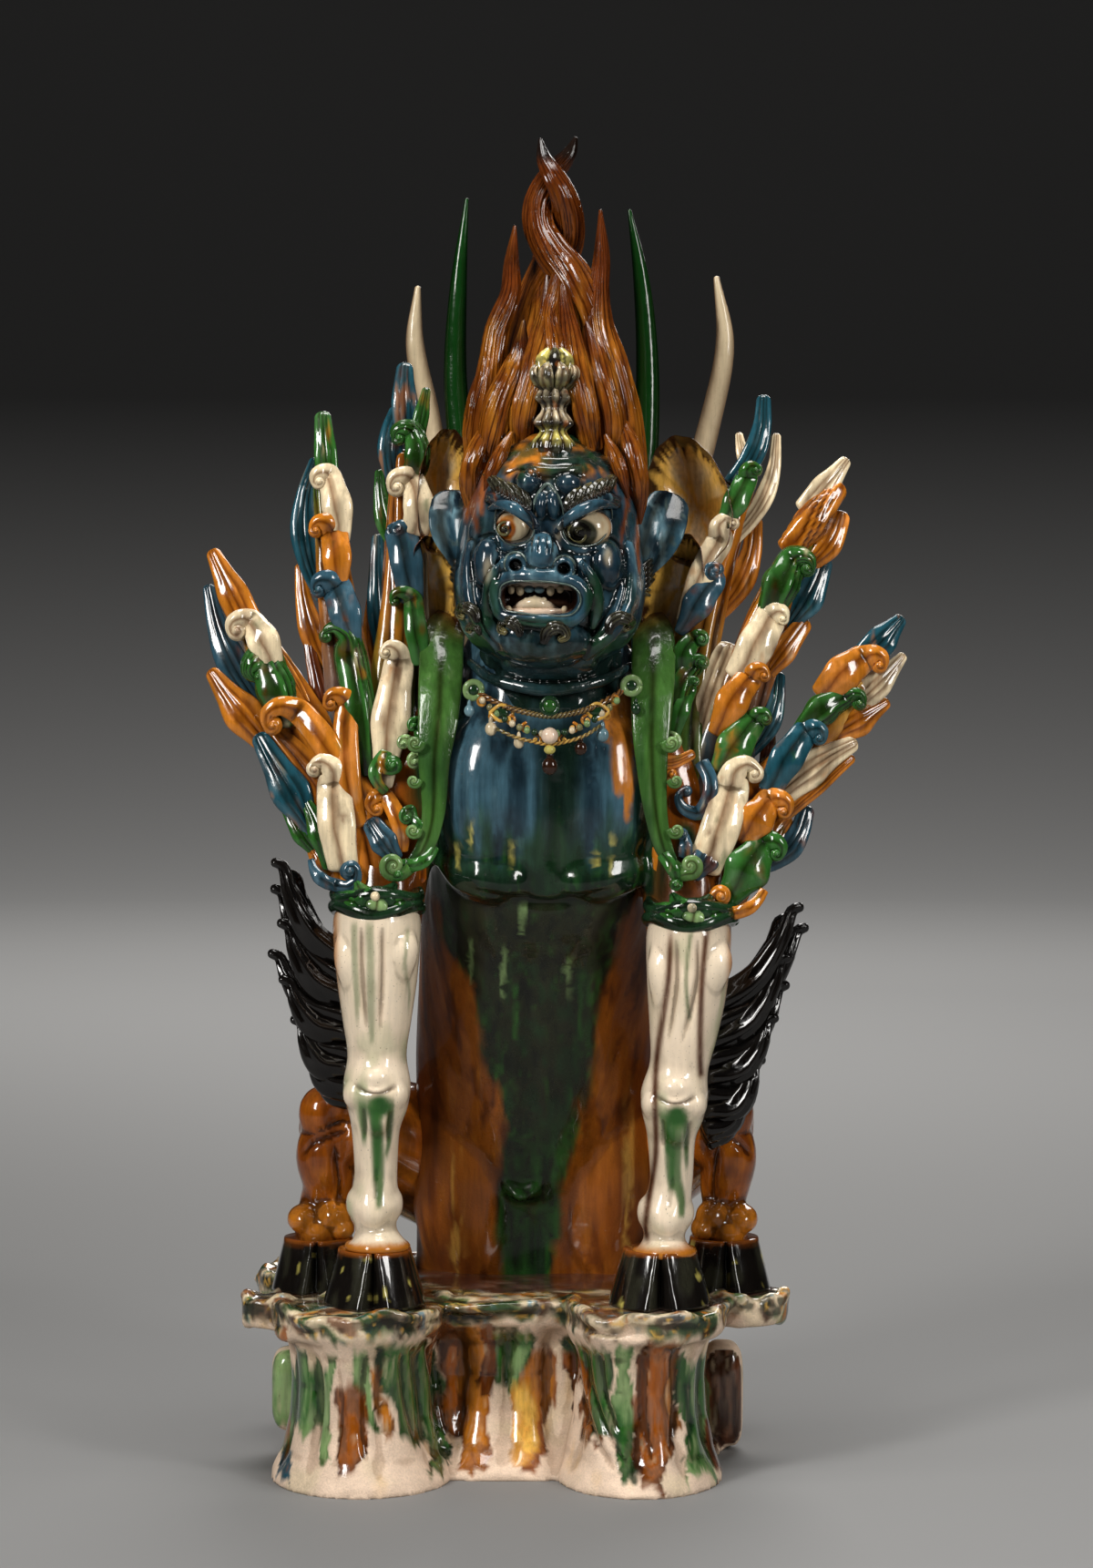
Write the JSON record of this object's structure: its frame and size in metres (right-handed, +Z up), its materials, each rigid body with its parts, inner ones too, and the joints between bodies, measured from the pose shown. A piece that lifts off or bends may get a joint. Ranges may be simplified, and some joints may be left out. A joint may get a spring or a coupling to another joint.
{
  "type": "tomb guardian figure",
  "caption": "Seated winged guardian beast with a demon face, flame plumes, upswept hair and hooves, in glazed earthenware on its own lobed plinth.",
  "frame": {"origin": "centre of the plinth's flat underside", "axes": "+Z up, the figure faces -Y, its proper right side is at -X"},
  "size_m": [0.4865, 0.3142, 0.9296],
  "materials": {
    "sancai_glaze": "glossy lead glazes in amber, green, blue, cream and black-brown, run and pooled over a pinkish clay body",
    "bare_clay": "matt, pinkish buff earthenware left bare on the plinth walls between glaze runs"
  },
  "bodies": {
    "root": {"tomb_guardian": "sancai_glaze"}
  },
  "joints": []
}
